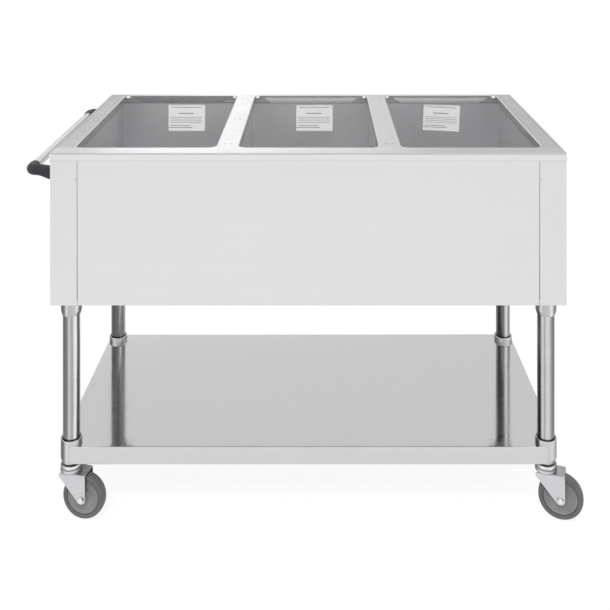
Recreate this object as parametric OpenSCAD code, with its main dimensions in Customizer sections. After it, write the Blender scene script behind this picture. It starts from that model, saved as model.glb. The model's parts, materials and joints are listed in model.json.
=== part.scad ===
// Mobile electric steam table with three open wells for full-size pans.
// Frame: origin on the floor below the table's centre, +X to the right seen from the customer's
// side, +Y towards the operator's side, +Z up. Millimetres.

/* [Table] */
// Width of the deck
deck_w = 1120; // [1110:1:1130]
// Depth of the deck
deck_d = 565; // [563:1:572]
// Height of the deck above the floor
table_h = 820; // [760:1:900]
// Height of the cabinet, deck included
cabinet_h = 330; // [320:1:380]
// Thickness of the panel sheet
sheet_t = 1.2; // [0.8:0.1:1.5]

/* [Deck and wells] */
// Thickness of the deck sheet
deck_t = 1.5; // [1.2:0.1:2]
// Depth of the deck's down-turned apron
apron_h = 18; // [14:1:24]
// Width of one pan opening
opening_w = 311; // [300:1:312]
// Depth of one pan opening
opening_d = 508; // [500:1:509]
// Distance between the openings' centres
pitch = 361; // [358:1:362]
// How far the openings sit back of the deck's centre
opening_back = 14.5; // [8:0.5:14.5]
// Depth of the flanges turned down from the openings' edges
flange_h = 20; // [12:1:24]
// Depth of a well below the deck
well_depth = 210; // [180:1:212]
// How far a well's walls stand back from the opening's edge
well_setback = 8; // [5:0.5:9]

/* [Undercarriage] */
// Distance between the leg axes, side to side
leg_span_x = 1056; // [1040:1:1060]
// Distance between the leg axes, front to back
leg_span_y = 451; // [440:1:455]
// Diameter of the leg tube
leg_d = 38; // [36:1:40]
// Height of the shelf's top
shelf_top = 163; // [160:1:200]
// Height of the shelf's edge
shelf_edge = 38; // [30:1:40]

/* [Casters] */
// Diameter of the wheels
wheel_d = 97; // [90:1:97]
// Width of the tyres
tyre_w = 24; // [20:1:28]
// Distance from the swivel axis back to the axle
trail = 32; // [28:1:34]

/* [Handle] */
// Distance of the handle bar's axis from the table's centre
handle_x = 610; // [600:1:612]
// Height of the handle bar's axis below the deck
handle_drop = 45; // [40:1:50]
// Diameter of the handle bar
bar_d = 19.5; // [18:0.5:20]

/* [Controls] */
// Diameter of the knobs
knob_d = 48; // [40:1:52]
// How far the control panel sits in from the table's rear face
recess = 30; // [26:1:32]

/* [Hidden] */

$fn = 48;
// Clearance between pieces that touch but don't move
gap = 0.1;
// Radial clearance of a shaft in its hole
run = 0.06;
// Overlap of solids that are joined into one piece
bite = 0.5;

steel = [0.80, 0.80, 0.81];
bright = [0.72, 0.72, 0.74];
dark_plastic = [0.12, 0.12, 0.13];
grey_rubber = [0.42, 0.42, 0.43];

// Cabinet
deck_under = table_h - deck_t;
cabinet_bottom = table_h - cabinet_h;
panel_x = deck_w / 2 - sheet_t - gap;
panel_y = deck_d / 2 - sheet_t - gap;
panel_top = deck_under - gap;
return_w = 58.4;
seam = 0.6;
seam_x = panel_x - return_w;

// Openings and wells
opening_r = 18;
liner_t = 1;
liner_w = opening_w + 2 * well_setback;
liner_d = opening_d + 2 * well_setback;
liner_r = 4;
liner_lip = 7;
liner_top = deck_under - gap;
well_floor = table_h - well_depth;
element_r = 4;
element_z = well_floor + 20;
element_x = [-105, -35, 35, 105];
element_front = -175;
element_turn = 130;
element_rear = 190;
element_drop_r = 14;
insulation_t = 12;

// Legs and shelf
leg_r = leg_d / 2;
leg_bore_r = leg_r - 1.5;
socket_r = leg_r + 4;
socket_h = 42;
sleeve_r = leg_r + 4.4;
sleeve_bottom = shelf_top - 41;
sleeve_top = shelf_top + 11;
screw_z = [cabinet_bottom - 22, shelf_top - 19];
leg_top = cabinet_bottom - 3;
corners = [[-1, -1], [1, -1], [-1, 1], [1, 1]];

// Casters
wheel_r = wheel_d / 2;
tyre_bore_r = 37.5;
crown_top = sleeve_bottom - 20;
crown_t = 2.5;
fork_half = 19.5;
fork_t = 2.5;
fork_end_r = 10;
axle_r = 4;
race_r = 24;
pedal_pivot = [47, crown_top + 3];
yaw_front_left = -12;
yaw_front_right = -18;
yaw_rear_left = 9;
yaw_rear_right = 170;

// Controls
control_y = panel_y - recess;
control_top = well_floor - 3;
control_z = cabinet_bottom + 52;
lamp_offset = 62;
cord_r = 4.2;
cord_x = 205;
cord_half = 50;
cord_y = control_y + 14;
coil_z = cabinet_bottom + 58;
plug_x = cord_x + 20;
relief_x = 455;
block_x = 420;

// Handle
bar_z = table_h - handle_drop;
elbow_y = deck_d / 2 - 31;
elbow_r = 12.5;
pad_z = bar_z - 7;

// ---------------------------------------------------------------- helpers

// Box given by its lowest and highest corners
module span(lo, hi) {
    translate(lo) cube(hi - lo);
}

// Rectangle with round corners, centred
module round_rect(w, d, r) {
    square([w - 2 * r, d], center = true);
    square([w, d - 2 * r], center = true);
    for (x = [-1, 1], y = [-1, 1])
        translate([x * (w / 2 - r), y * (d / 2 - r)]) circle(r, $fn = 48);
}

module at_legs() {
    for (c = corners)
        translate([c[0] * leg_span_x / 2, c[1] * leg_span_y / 2, 0]) children();
}

// Puts a caster's piece at its leg; in the caster's own frame +X points along the trail
module at_caster(corner, yaw) {
    translate([corner[0] * leg_span_x / 2, corner[1] * leg_span_y / 2, 0])
        rotate([0, 0, yaw]) children();
}

module at_wells() {
    for (i = [-1, 0, 1]) translate([i * pitch, opening_back, 0]) children();
}

// ---------------------------------------------------------------- deck

// One flange below the deck sheet, with its ends cut back at an angle
module edge_flange(length) {
    cut = 29;
    half_l = length / 2 - opening_r;
    translate([0, deck_t, 0]) rotate([90, 0, 0]) linear_extrude(deck_t)
        polygon([
            [-half_l, bite - deck_t], [half_l, bite - deck_t], [half_l, -4],
            [half_l - cut, -flange_h], [cut - half_l, -flange_h], [-half_l, -4]
        ]);
}

// The four flanges of one opening, hanging from the deck's top plane
module opening_flanges() {
    for (side = [0, 1, 2, 3]) {
        along = side % 2 == 0 ? opening_w : opening_d;
        out = side % 2 == 0 ? opening_d / 2 : opening_w / 2;
        rotate([0, 0, 90 * side]) translate([0, out, 0]) edge_flange(along);
    }
}

module top_deck() {
    color(steel) {
        difference() {
            translate([0, 0, deck_under])
                linear_extrude(deck_t) square([deck_w, deck_d], center = true);
            at_wells() translate([0, 0, deck_under - 1]) linear_extrude(deck_t + 2)
                round_rect(opening_w, opening_d, opening_r);
        }
        difference() {
            translate([0, 0, table_h - apron_h]) linear_extrude(apron_h - deck_t + bite)
                square([deck_w, deck_d], center = true);
            translate([0, 0, table_h - apron_h - 1]) linear_extrude(apron_h + 2)
                square([deck_w - 2 * sheet_t, deck_d - 2 * sheet_t], center = true);
        }
        at_wells() translate([0, 0, table_h]) opening_flanges();
    }
}

// Channels welded under the two bars between the openings
module deck_channels() {
    channel_w = 14;
    channel_h = 22;
    color(bright) for (i = [-0.5, 0.5]) translate([i * pitch, opening_back, 0]) difference() {
        span([-channel_w / 2, -opening_d / 2 + 6, deck_under - gap - channel_h],
             [channel_w / 2, opening_d / 2 - 6, deck_under - gap]);
        span([sheet_t - channel_w / 2, -opening_d / 2, deck_under - channel_h + sheet_t],
             [channel_w / 2 - sheet_t, opening_d / 2, deck_under + 1]);
    }
}

// ---------------------------------------------------------------- cabinet panels

// The seams to the end panels open slightly towards the bottom
module front_panel() {
    hem = 12;
    x = seam_x - seam / 2;
    slack = 0.5;
    color(steel) {
        translate([0, -panel_y + sheet_t, 0]) rotate([90, 0, 0]) linear_extrude(sheet_t)
            polygon([[-x, panel_top], [x, panel_top],
                     [x - slack, cabinet_bottom], [slack - x, cabinet_bottom]]);
        span([-x + 1, -panel_y + sheet_t - 0.2, panel_top - sheet_t],
             [x - 1, -panel_y + hem, panel_top]);
    }
}

module end_panel() {
    color(steel) difference() {
        span([seam_x + seam / 2, -panel_y, cabinet_bottom], [panel_x, panel_y, panel_top]);
        span([seam_x - 1, -panel_y + sheet_t, cabinet_bottom - 1],
             [panel_x - sheet_t, panel_y - sheet_t, panel_top + 1]);
    }
}

module right_end_panel() {
    end_panel();
}

module left_end_panel() {
    color(steel) difference() {
        mirror([1, 0, 0]) end_panel();
        handle_screw_axes() cylinder(r = 3.3, h = 20, center = true);
    }
}

// Operator's side: the lower part is set in and carries the controls
module rear_control_panel() {
    x = seam_x - seam / 2;
    color(steel) difference() {
        union() {
            span([-x, panel_y - sheet_t, control_top], [x, panel_y, panel_top]);
            span([-x, control_y - sheet_t, control_top], [x, panel_y, control_top + sheet_t]);
            span([-x, control_y - sheet_t, cabinet_bottom], [x, control_y, control_top + bite]);
            for (s = [-1, 1]) scale([s, 1, 1])
                span([x - sheet_t, control_y - sheet_t, cabinet_bottom],
                     [x, panel_y - sheet_t - gap, control_top + bite]);
        }
        for (i = [-1, 0, 1]) {
            translate([i * pitch, control_y, control_z]) rotate([90, 0, 0])
                cylinder(r = 5, h = 10, center = true);
            translate([i * pitch + lamp_offset, control_y, control_z]) rotate([90, 0, 0])
                cylinder(r = 6.1, h = 10, center = true);
        }
        translate([relief_x, control_y, coil_z - 36]) rotate([90, 0, 0])
            cylinder(r = 8.1, h = 10, center = true);
    }
}

// Shallow pan that closes the cabinet from below
module bottom_panel() {
    x = panel_x - sheet_t - gap;
    front = -panel_y + sheet_t + gap;
    rear = control_y - sheet_t - gap;
    rim = 12;
    color(bright) difference() {
        span([-x, front, cabinet_bottom], [x, rear, cabinet_bottom + rim]);
        span([-x + sheet_t, front + sheet_t, cabinet_bottom + sheet_t],
             [x - sheet_t, rear - sheet_t, cabinet_bottom + rim + 1]);
    }
}

module panel_rivets() {
    drop = 57;
    head_r = 1.8;
    color(bright) for (x = [-1, 1], y = [-1, 1])
        translate([x * (seam_x + 4), y * (panel_y + gap), table_h - drop]) rotate([-90 * y, 0, 0])
            cylinder(r = head_r, h = 0.6);
}

// ---------------------------------------------------------------- wells

module well_liner(i) {
    color(bright) translate([i * pitch, opening_back, 0]) difference() {
        union() {
            translate([0, 0, well_floor]) linear_extrude(liner_top - well_floor)
                round_rect(liner_w + 2 * liner_t, liner_d + 2 * liner_t, liner_r + liner_t);
            // The lip stops short at the rear, where the cabinet's rear panel stands
            translate([0, 0, liner_top - liner_t]) linear_extrude(liner_t)
                intersection() {
                    round_rect(liner_w + 2 * liner_lip, liner_d + 2 * liner_lip, liner_r + liner_lip);
                    translate([-liner_w, -liner_d])
                        square([2 * liner_w, 1.5 * liner_d + liner_t]);
                }
        }
        translate([0, 0, well_floor + liner_t]) linear_extrude(well_depth)
            round_rect(liner_w, liner_d, liner_r);
        for (x = [element_x[0], element_x[3]])
            translate([x, element_rear + element_drop_r, well_floor])
                cylinder(r = element_r + gap, h = 10, center = true);
    }
}

module well_liner_left() { well_liner(-1); }
module well_liner_centre() { well_liner(0); }
module well_liner_right() { well_liner(1); }

// Straight run of the heating tube along Y
module tube_run(x, from, to) {
    translate([x, from, element_z]) rotate([-90, 0, 0])
        cylinder(r = element_r, h = to - from, $fn = 24);
}

// Half-turn that joins two runs; turn is 1 at the rear and -1 at the front
module tube_turn(x, y, r, turn) {
    translate([x, y, element_z]) rotate([0, 0, turn > 0 ? 0 : 180])
        rotate_extrude(angle = 180) translate([r, 0]) circle(element_r, $fn = 24);
}

module heating_element(i) {
    r = (element_x[1] - element_x[0]) / 2;
    tail = element_z - element_drop_r - well_floor + 22;
    color(bright) translate([i * pitch, opening_back, 0]) {
        tube_run(element_x[0], element_front, element_rear);
        tube_run(element_x[1], element_front, element_turn);
        tube_run(element_x[2], element_front, element_turn);
        tube_run(element_x[3], element_front, element_rear);
        tube_turn(element_x[0] + r, element_front, r, -1);
        tube_turn(element_x[1] + r, element_turn, r, 1);
        tube_turn(element_x[2] + r, element_front, r, -1);
        for (x = [element_x[0], element_x[3]]) translate([x, element_rear, element_z]) {
            translate([0, 0, -element_drop_r]) rotate([90, 0, 90])
                rotate_extrude(angle = 90)
                    translate([element_drop_r, 0]) circle(element_r, $fn = 24);
            translate([0, element_drop_r, -element_drop_r - tail])
                cylinder(r = element_r, h = tail, $fn = 24);
        }
    }
}

module heating_element_left() { heating_element(-1); }
module heating_element_centre() { heating_element(0); }
module heating_element_right() { heating_element(1); }

// Two strips on edge in each well, under the heating tube
module element_supports() {
    color(bright) at_wells() for (y = [-130, 90])
        span([-118, y, well_floor + liner_t + gap],
             [118, y + 2, element_z - element_r - gap]);
}

// Blanket under each well and against its sides and front
module well_insulation() {
    inner_w = liner_w + 2 * liner_t + 2 * gap;
    inner_d = liner_d + 2 * liner_t + 2 * gap;
    low = well_floor - insulation_t;
    high = deck_under - 30;
    color([0.93, 0.88, 0.62]) at_wells() difference() {
        span([-inner_w / 2 - insulation_t, -inner_d / 2 - insulation_t, low],
             [inner_w / 2 + insulation_t, inner_d / 2 - 42, high]);
        translate([0, 0, well_floor - gap]) linear_extrude(well_depth)
            round_rect(inner_w, inner_d, liner_r + liner_t);
        for (x = [element_x[0], element_x[3]])
            translate([x, element_rear + element_drop_r, low - 1])
                cylinder(r = element_r + 1, h = insulation_t + 2);
    }
}

// Blank paper notices on the rear walls; the right one hangs slightly askew
module well_labels() {
    label_w = 102;
    label_h = 73;
    label_z = table_h - 64;
    wall_y = opening_back + liner_d / 2;
    shift = [13, 10, 5];
    color("white") for (i = [0, 1, 2])
        translate([(i - 1) * pitch + shift[i], wall_y - gap, label_z])
            rotate([90, i == 2 ? 2.7 : 0, 0])
                linear_extrude(0.3) square([label_w, label_h], center = true);
}

// ---------------------------------------------------------------- electrical parts

module control_switches() {
    inside = control_y - sheet_t - gap;
    color([0.85, 0.84, 0.80]) for (i = [-1, 0, 1]) translate([i * pitch, 0, control_z]) {
        span([-24, inside - 38, -20], [24, inside, 20]);
        translate([0, inside - bite, 0]) rotate([-90, 0, 0])
            cylinder(r = 3, h = sheet_t + gap + bite + 17, $fn = 32);
    }
}

module pilot_lamps() {
    color("orangered") for (i = [-1, 0, 1])
        translate([i * pitch + lamp_offset, control_y + gap, control_z]) rotate([-90, 0, 0]) {
            cylinder(r = 8, h = 2.5);
            translate([0, 0, 2]) cylinder(r1 = 6.5, r2 = 4.5, h = 5);
            translate([0, 0, -26]) cylinder(r = 6, h = 26.5);
        }
}

module terminal_block() {
    floor_z = cabinet_bottom + sheet_t + gap;
    color([0.2, 0.2, 0.22]) difference() {
        span([block_x - 40, control_y - 75, floor_z], [block_x + 40, control_y - 45, floor_z + 24]);
        for (k = [-3:3]) translate([block_x + k * 11, control_y - 60, floor_z + 16])
            cylinder(r = 3.2, h = 20);
    }
}

// One insulated wire: up to the lane's height, along the lane, then down or up to its end
module wire(from, to, lane_y, lane_z) {
    r = 1.6;
    corner_r = 1.9;
    points = [
        from, [from[0], from[1], lane_z], [from[0], lane_y, lane_z],
        [to[0], lane_y, lane_z], [to[0], to[1], lane_z], to
    ];
    for (k = [0:len(points) - 2]) {
        a = points[k];
        d = points[k + 1] - a;
        turn = abs(d[0]) > 0.01 ? [0, d[0] > 0 ? 90 : -90, 0]
            : abs(d[1]) > 0.01 ? [d[1] > 0 ? -90 : 90, 0, 0]
            : [d[2] > 0 ? 0 : 180, 0, 0];
        translate(a) rotate(turn) cylinder(r = r, h = norm(d), $fn = 16);
        if (k < len(points) - 2) translate(points[k + 1]) sphere(corner_r, $fn = 16);
    }
}

// Wires from the terminal block to each switch and from each switch to its element
module wiring_harness() {
    from_z = cabinet_bottom + 20;
    switch_y = control_y - 20;
    switch_top = control_z + 20 + 2 * gap;
    tail_y = opening_back + element_rear + element_drop_r;
    tail_end = well_floor - 22 - 2 * gap;
    color([0.75, 0.2, 0.15]) for (i = [-1, 0, 1]) {
        wire([block_x + i * 22, control_y - 60, from_z],
             [i * pitch - 10, switch_y, switch_top],
             control_y - 70 + i * 6, switch_top + 17 + i * 5);
        wire([i * pitch + 10, switch_y, switch_top],
             [i * pitch + element_x[3], tail_y, tail_end], switch_y - 6, switch_top + 6);
    }
}

// Half-turn of the cord in the coil's plane; s is 1 on the right and -1 on the left
module cord_turn(x, z, r, s) {
    translate([x, 0, z]) rotate([90, s > 0 ? 90 : -90, 0])
        rotate_extrude(angle = 180) translate([r, 0]) circle(cord_r, $fn = 24);
}

// Straight run of the cord along X
module cord_run(from, to, z) {
    translate([from, 0, z]) rotate([0, 90, 0]) cylinder(r = cord_r, h = to - from, $fn = 24);
}

// Cord out of the strain relief, coiled inwards on the recessed panel to the plug
module power_cord() {
    left = cord_x - cord_half;
    right = cord_x + cord_half;
    bend = 9;
    color([0.1, 0.1, 0.1]) {
        translate([0, cord_y, coil_z]) {
            cord_run(left, relief_x - bend, -36);
            cord_turn(left, 0, 36, -1);
            cord_run(left, right, 36);
            cord_turn(right, 5, 31, 1);
            cord_run(left, right, -26);
            cord_turn(left, 0, 26, -1);
            cord_run(left, right, 26);
            cord_turn(right, 13, 13, 1);
            cord_run(plug_x, right, 0);
        }
        translate([relief_x - bend, cord_y - bend, coil_z - 36])
            rotate_extrude(angle = 90) translate([bend, 0]) circle(cord_r, $fn = 24);
        translate([relief_x, control_y - 43, coil_z - 36]) rotate([-90, 0, 0])
            cylinder(r = cord_r, h = 43 + cord_y - bend - control_y, $fn = 24);
    }
}

// Two clips hold the coil's upper runs on the panel
module cord_clips() {
    wall = 1.5;
    reach = cord_y + cord_r + gap;
    color(dark_plastic) for (x = [cord_x - 30, cord_x + 30]) difference() {
        span([x - 5, control_y + gap, coil_z + 26 - cord_r - gap - wall],
             [x + 5, reach + wall, coil_z + 36 + cord_r + gap + wall]);
        span([x - 6, cord_y - cord_r - gap, coil_z + 26 - cord_r - gap],
             [x + 6, reach, coil_z + 36 + cord_r + gap]);
    }
}

module strain_relief() {
    color(dark_plastic) translate([relief_x, control_y, coil_z - 36]) rotate([-90, 0, 0])
        difference() {
            union() {
                translate([0, 0, gap]) cylinder(r = 12, h = 4);
                translate([0, 0, -14]) cylinder(r = 8, h = 14 + gap + bite);
            }
            translate([0, 0, -20]) cylinder(r = cord_r + gap, h = 40);
        }
}

module power_plug() {
    translate([plug_x - gap, cord_y, coil_z]) {
        color(dark_plastic) {
            rotate([0, -90, 0]) cylinder(r1 = 6, r2 = 9, h = 16);
            span([-44, -11, -12], [-15, 11, 12]);
        }
        color(bright) {
            for (z = [-6.3, 6.3]) span([-60, -5, z - 0.8], [-43, 1, z + 0.8]);
            translate([-60, 6, 0]) rotate([0, 90, 0]) cylinder(r = 2.3, h = 17);
        }
    }
}

// ---------------------------------------------------------------- knobs

module knob(i) {
    face = control_y + 1;
    skirt_h = 4;
    grip_h = 20;
    color(dark_plastic) translate([i * pitch, face, control_z]) rotate([-90, 0, 0]) difference() {
        union() {
            cylinder(r = knob_d / 2, h = skirt_h);
            cylinder(r1 = knob_d / 2 - 6, r2 = knob_d / 2 - 8, h = 10);
            intersection() {
                span([-6, -knob_d / 2 + 2, 0], [6, knob_d / 2 - 2, grip_h]);
                cylinder(r1 = knob_d / 2 - 1, r2 = knob_d / 2 - 4, h = grip_h);
            }
        }
        translate([0, 0, -1]) cylinder(r = 3 + run, h = 18, $fn = 32);
        // Pointer groove along the grip
        span([-0.8, -knob_d / 2, grip_h - 0.8], [0.8, 0, grip_h + 1]);
    }
}

module knob_left() { knob(-1); }
module knob_centre() { knob(0); }
module knob_right() { knob(1); }

// ---------------------------------------------------------------- legs and shelf

module leg_sockets() {
    bottom = cabinet_bottom - socket_h;
    taper = 9;
    color(steel) difference() {
        at_legs() difference() {
            union() {
                translate([0, 0, bottom]) cylinder(r1 = socket_r - 2.4, r2 = socket_r, h = taper);
                translate([0, 0, bottom + taper - 0.01])
                    cylinder(r = socket_r, h = socket_h - taper - gap + 0.01);
            }
            translate([0, 0, bottom - 1]) cylinder(r = leg_r + gap, h = socket_h - 2);
        }
        screw_axes(screw_z[0]) screw_hole();
    }
}

module leg(corner) {
    color(bright) translate([corner[0] * leg_span_x / 2, corner[1] * leg_span_y / 2, sleeve_bottom])
        difference() {
            cylinder(r = leg_r, h = leg_top - sleeve_bottom);
            translate([0, 0, -1]) cylinder(r = leg_bore_r, h = leg_top - sleeve_bottom + 2);
        }
}

module leg_front_left() { leg(corners[0]); }
module leg_front_right() { leg(corners[1]); }
module leg_rear_left() { leg(corners[2]); }
module leg_rear_right() { leg(corners[3]); }

module undershelf() {
    half_x = leg_span_x / 2;
    half_y = leg_span_y / 2;
    low = shelf_top - shelf_edge;
    rim_x = half_x + sleeve_r;
    rim_y = half_y + sleeve_r;
    color(steel) difference() {
        span([-rim_x, -rim_y, low], [rim_x, rim_y, shelf_top]);
        // Hollow below, with a hem turned in at the bottom
        span([-rim_x + sheet_t, -rim_y + sheet_t, low + sheet_t],
             [rim_x - sheet_t, rim_y - sheet_t, shelf_top - sheet_t]);
        span([-rim_x + 12, -rim_y + 12, low - 1], [rim_x - 12, rim_y - 12, low + sheet_t + 1]);
        // The corners are open round the sleeves
        at_legs() translate([0, 0, low - 1]) cylinder(r = sleeve_r + gap, h = shelf_edge + 2);
        for (c = corners) scale([c[0], c[1], 1])
            span([half_x, half_y, low - 1], [rim_x + 1, rim_y + 1, shelf_top + 1]);
    }
}

module shelf_sleeves() {
    lip = 2.5;
    taper_r = sleeve_r - 2.6;
    bottom_h = 10;
    inner = leg_r + gap;
    color(steel) difference() {
        at_legs() rotate_extrude() difference() {
            union() {
                polygon([
                    [inner, sleeve_bottom], [taper_r, sleeve_bottom],
                    [sleeve_r, sleeve_bottom + bottom_h], [sleeve_r, sleeve_top - lip],
                    [inner, sleeve_top - lip]
                ]);
                translate([inner, sleeve_top - lip - 0.01])
                    square([sleeve_r - lip - inner, lip]);
                translate([sleeve_r - lip, sleeve_top - lip]) circle(lip, $fn = 32);
            }
            translate([0, sleeve_bottom - 1]) square([inner, sleeve_top - sleeve_bottom + 2]);
            // A groove between the lip and the leg
            translate([inner - 1, sleeve_top - 2]) square([1.8, 4]);
        }
        screw_axes(screw_z[1]) screw_hole();
    }
}

// Radial axes at one height, from each leg's surface towards the opposite leg along Y
module screw_axes(z) {
    for (c = corners) translate([c[0] * leg_span_x / 2, c[1] * (leg_span_y / 2 - leg_r), z])
        rotate([c[1] * 90, 0, 0]) children();
}

module screw_hole() {
    translate([0, 0, -1]) cylinder(r = 2.6, h = 12);
}

// One screw in each socket and sleeve; the lower ones are hidden under the shelf
module set_screws() {
    color(bright) for (z = screw_z)
        screw_axes(z) translate([0, 0, 2 * gap]) difference() {
            cylinder(r = 2.5, h = 7);
            translate([0, 0, 5]) cylinder(r = 1.4, h = 5, $fn = 6);
        }
}

module shelf_stiffener() {
    top = shelf_top - sheet_t - gap;
    half_w = 30;
    tall = 20;
    half_l = leg_span_x / 2 + 10;
    color(bright) difference() {
        span([-half_l, -half_w, top - tall], [half_l, half_w, top]);
        span([-half_l - 1, -half_w + sheet_t, top - tall + sheet_t],
             [half_l + 1, half_w - sheet_t, top + 1]);
    }
}

// ---------------------------------------------------------------- handle

module handle_bar() {
    half_l = elbow_y - 14;
    color(steel) translate([-handle_x, -half_l, bar_z]) rotate([-90, 0, 0])
        cylinder(r = bar_d / 2, h = 2 * half_l);
}

// The screws' axes point along X through the end panel into the elbows
module handle_screw_axes() {
    for (y = [-1, 1], z = [-7.5, 7.5])
        translate([-panel_x, y * elbow_y, pad_z + z]) rotate([0, -90, 0]) children();
}

module handle_elbow() {
    pad_x = -panel_x - gap;
    bar_start = elbow_y - 31;
    color(dark_plastic) difference() {
        union() {
            hull() {
                translate([pad_x - 4, -elbow_y, pad_z]) rotate([90, 0, 90])
                    linear_extrude(4) round_rect(27, 29, 7);
                translate([-handle_x, -elbow_y, bar_z]) sphere(elbow_r, $fn = 32);
            }
            translate([-handle_x, -elbow_y, bar_z]) rotate([-90, 0, 0])
                cylinder(r = elbow_r, h = elbow_y - bar_start);
        }
        translate([-handle_x, -elbow_y + 13.5, bar_z]) rotate([-90, 0, 0])
            cylinder(r = bar_d / 2 + 0.05, h = 40);
        handle_screw_axes() cylinder(r = 2.9, h = 22);
    }
}

module handle_elbow_front() { handle_elbow(); }

module handle_elbow_rear() { mirror([0, 1, 0]) handle_elbow(); }

module handle_screws() {
    color(bright) handle_screw_axes() {
        translate([0, 0, -sheet_t - gap - 4]) cylinder(r = 5, h = 4);
        translate([0, 0, -sheet_t - gap - 1]) cylinder(r = 2.8, h = 20);
    }
}

// ---------------------------------------------------------------- casters

// Point where the fork's sloping edge, drawn from p, meets the round end about c
function tangent_point(p, c, r) =
    let (d = c - p, l = norm(d), a = atan2(d[1], d[0]), b = asin(r / l), t = sqrt(l * l - r * r))
    p + t * [cos(a - b), sin(a - b)];

// Stem, kingpin and upper race, fixed in the leg
module caster_stems() {
    color(bright) at_legs() {
        translate([0, 0, sleeve_bottom + 2]) cylinder(r = leg_bore_r - gap, h = 45);
        translate([0, 0, crown_top + 8.5]) cylinder(r = race_r - 0.5, h = 7);
        translate([0, 0, crown_top + 15.4]) cylinder(r1 = race_r - 1.5, r2 = 17, h = 2.6);
        translate([0, 0, crown_top + 17]) cylinder(r = leg_bore_r - gap, h = 6);
        translate([0, 0, crown_top - crown_t - 4]) cylinder(r = 5, h = 17);
        translate([0, 0, crown_top - crown_t - 4.2]) cylinder(r = 8, h = 4);
    }
}

module fork_side(braked) {
    nose = [-21, crown_top - 8];
    end = [trail, wheel_r];
    touch = tangent_point(nose, end, fork_end_r);
    heel = trail + fork_end_r;
    polygon([
        [-21, crown_top], nose, touch, end, [heel, wheel_r], [heel, crown_top]
    ]);
    translate(end) circle(fork_end_r);
    if (braked) {
        translate([heel - 6, pedal_pivot[1] - 9]) square([pedal_pivot[0] - heel + 6, 14]);
        translate(pedal_pivot) circle(5);
        translate([pedal_pivot[0] - 1, pedal_pivot[1] - 9]) square([4, 9]);
    }
}

module caster_fork(corner, yaw, braked) {
    heel = trail + fork_end_r;
    half = fork_half;
    color(steel) at_caster(corner, yaw) difference() {
        union() {
            translate([0, 0, crown_top - crown_t]) cylinder(r = race_r, h = crown_t);
            span([-12, -half, crown_top - crown_t], [heel - (braked ? 10 : 0), half, crown_top]);
            for (y = [-half, half - fork_t]) translate([0, y + fork_t, 0]) rotate([90, 0, 0])
                linear_extrude(fork_t) fork_side(braked);
            // Lower race
            translate([0, 0, crown_top - bite]) cylinder(r = race_r, h = 8 + bite);
        }
        translate([0, 0, crown_top + 1]) cylinder(r = 12, h = 20);
        translate([0, 0, crown_top - 10]) cylinder(r = 5 + run, h = 20);
        translate([trail, 0, wheel_r]) rotate([90, 0, 0])
            cylinder(r = axle_r + run, h = 100, center = true);
        if (braked) translate([pedal_pivot[0], 0, pedal_pivot[1]]) rotate([90, 0, 0])
            cylinder(r = 2 + run, h = 100, center = true);
    }
}

module caster_fork_front_left() { caster_fork(corners[0], yaw_front_left, false); }
module caster_fork_front_right() { caster_fork(corners[1], yaw_front_right, false); }
module caster_fork_rear_left() { caster_fork(corners[2], yaw_rear_left, true); }
module caster_fork_rear_right() { caster_fork(corners[3], yaw_rear_right, true); }

// Bolt through the fork and hub, with its nut as a second solid
module caster_axle(corner, yaw) {
    half = fork_half + gap;
    hex_r = 7;
    hex_h = 4;
    color(bright) at_caster(corner, yaw) translate([trail, 0, wheel_r]) rotate([90, 0, 0]) {
        translate([0, 0, half]) cylinder(r = hex_r, h = hex_h, $fn = 6);
        translate([0, 0, -half - hex_h - 2]) cylinder(r = axle_r, h = 2 * half + hex_h + 2.5);
        translate([0, 0, -half - hex_h]) difference() {
            cylinder(r = hex_r, h = hex_h, $fn = 6);
            translate([0, 0, -1]) cylinder(r = axle_r + gap, h = hex_h + 2);
        }
    }
}

module caster_axle_front_left() { caster_axle(corners[0], yaw_front_left); }
module caster_axle_front_right() { caster_axle(corners[1], yaw_front_right); }
module caster_axle_rear_left() { caster_axle(corners[2], yaw_rear_left); }
module caster_axle_rear_right() { caster_axle(corners[3], yaw_rear_right); }

// The hub's section: a boss, a dished web and a rim under the tyre, the same on both faces
module hub_profile() {
    boss_r = 13;
    boss_half = fork_half - fork_t - 0.5;
    rim_half = tyre_w / 2 - 1.5;
    web_half = tyre_w / 2 - 4;
    edge = tyre_bore_r - 0.05;
    half = [
        [axle_r + run, boss_half], [boss_r - 2, boss_half], [boss_r, boss_half - 2],
        [boss_r + 1, web_half], [edge - 6, web_half], [edge - 4, rim_half], [edge, rim_half]
    ];
    count = len(half);
    polygon(concat(half, [for (k = [count - 1:-1:0]) [half[k][0], -half[k][1]]]));
}

module wheel_hub(corner, yaw) {
    color(grey_rubber) at_caster(corner, yaw) translate([trail, 0, wheel_r]) rotate([90, 0, 0])
        rotate_extrude($fn = 64) hub_profile();
}

module wheel_hub_front_left() { wheel_hub(corners[0], yaw_front_left); }
module wheel_hub_front_right() { wheel_hub(corners[1], yaw_front_right); }
module wheel_hub_rear_left() { wheel_hub(corners[2], yaw_rear_left); }
module wheel_hub_rear_right() { wheel_hub(corners[3], yaw_rear_right); }

// Tyre with rounded shoulders
module tyre(corner, yaw) {
    shoulder = 5;
    half = tyre_w / 2;
    color(grey_rubber) at_caster(corner, yaw) translate([trail, 0, wheel_r]) rotate([90, 0, 0])
        rotate_extrude($fn = 64) {
            translate([tyre_bore_r, -half]) square([wheel_r - shoulder - tyre_bore_r, tyre_w]);
            translate([tyre_bore_r + 1, shoulder - half])
                square([wheel_r - tyre_bore_r - 1, tyre_w - 2 * shoulder]);
            for (s = [-1, 1]) translate([wheel_r - shoulder, s * (half - shoulder)])
                circle(shoulder, $fn = 32);
        }
}

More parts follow.
